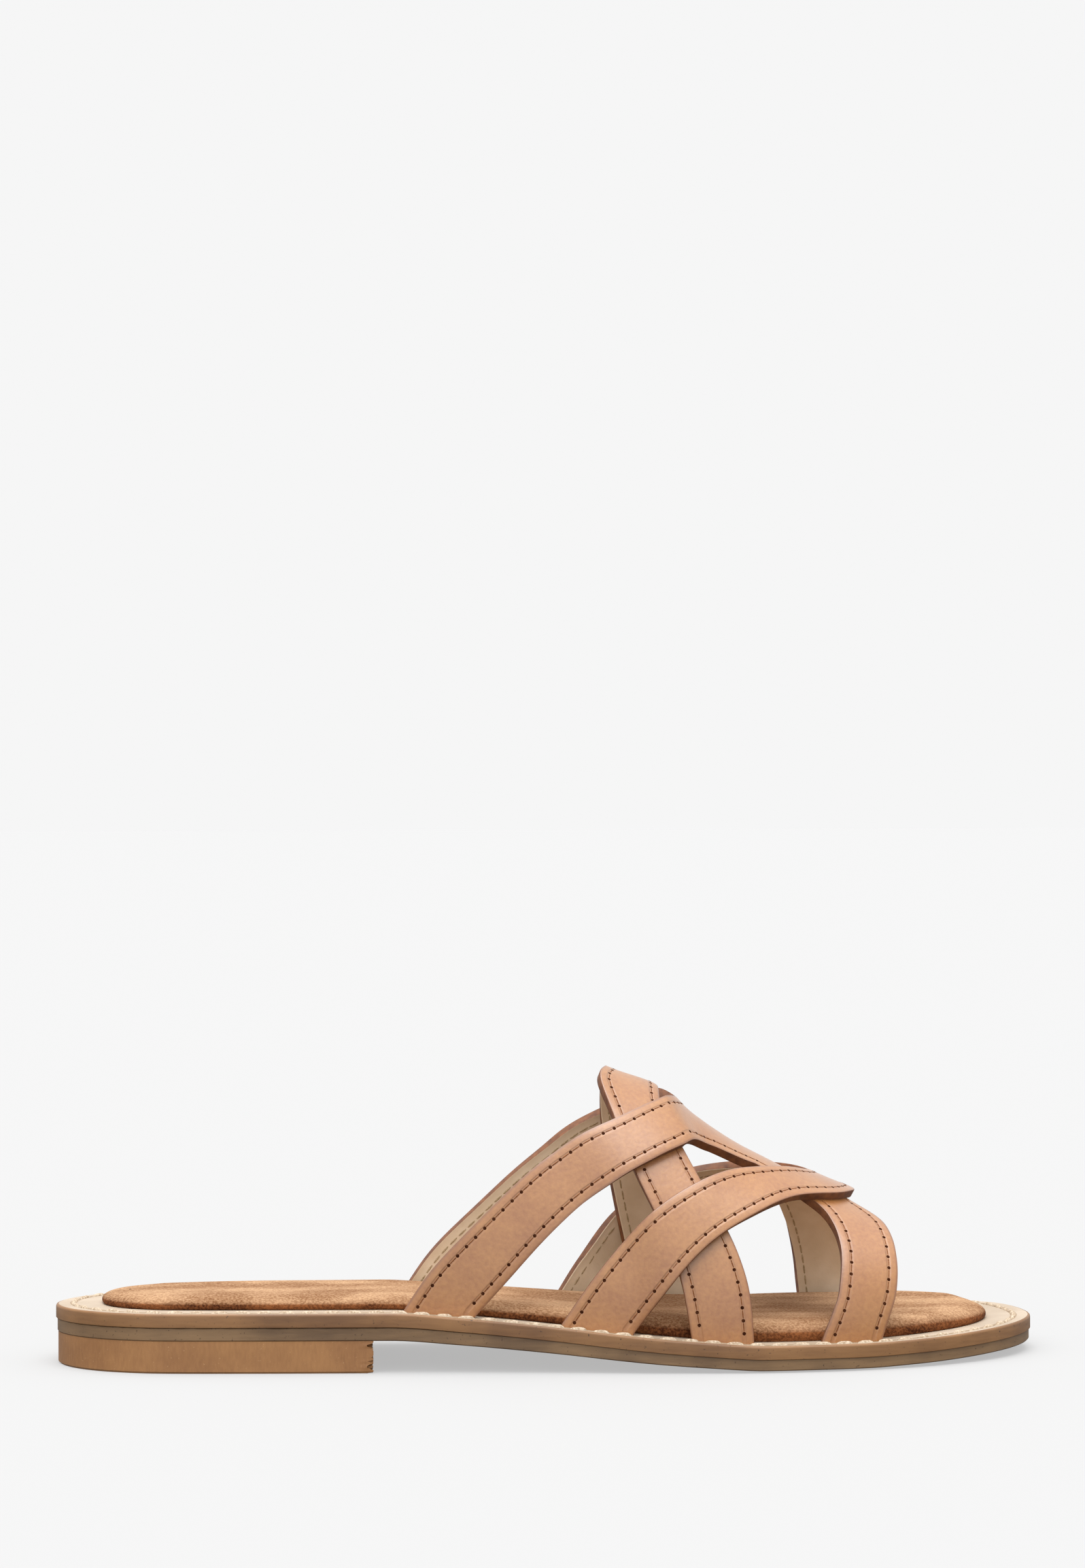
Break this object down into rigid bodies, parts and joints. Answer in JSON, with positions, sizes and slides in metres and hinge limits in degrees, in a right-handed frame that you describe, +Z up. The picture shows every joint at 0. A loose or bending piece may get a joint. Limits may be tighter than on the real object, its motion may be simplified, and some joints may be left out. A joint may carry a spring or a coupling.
{
  "type": "slipper",
  "caption": "Flat backless leather mule with crossing straps over the forefoot, a padded suede footbed, a stitched welt and a low block heel.",
  "frame": {"origin": "on the ground, under the middle of the sole's outline", "axes": "+X from the heel to the toe, +Y to the inner (medial) side, +Z up"},
  "size_m": [0.262, 0.0869, 0.0773],
  "materials": {
    "heel_leatherboard": "stacked leatherboard, sanded and waxed, tan brown with fine pale specks",
    "outsole_leather": "thin sole, edge trimmed and burnished olive brown",
    "welt_leather": "pale undyed leather face with a brown burnished edge and an off-white stitch row",
    "footbed_suede": "cognac suede over a thin foam pad, mottled nap",
    "strap_leather": "smooth tan leather, soft sheen, fine grain, brown cut edges, pale lining"
  },
  "bodies": {
    "root": {"heel": "heel_leatherboard", "outsole": "outsole_leather", "welt": "welt_leather", "footbed": "footbed_suede", "upper": "strap_leather"}
  },
  "joints": []
}
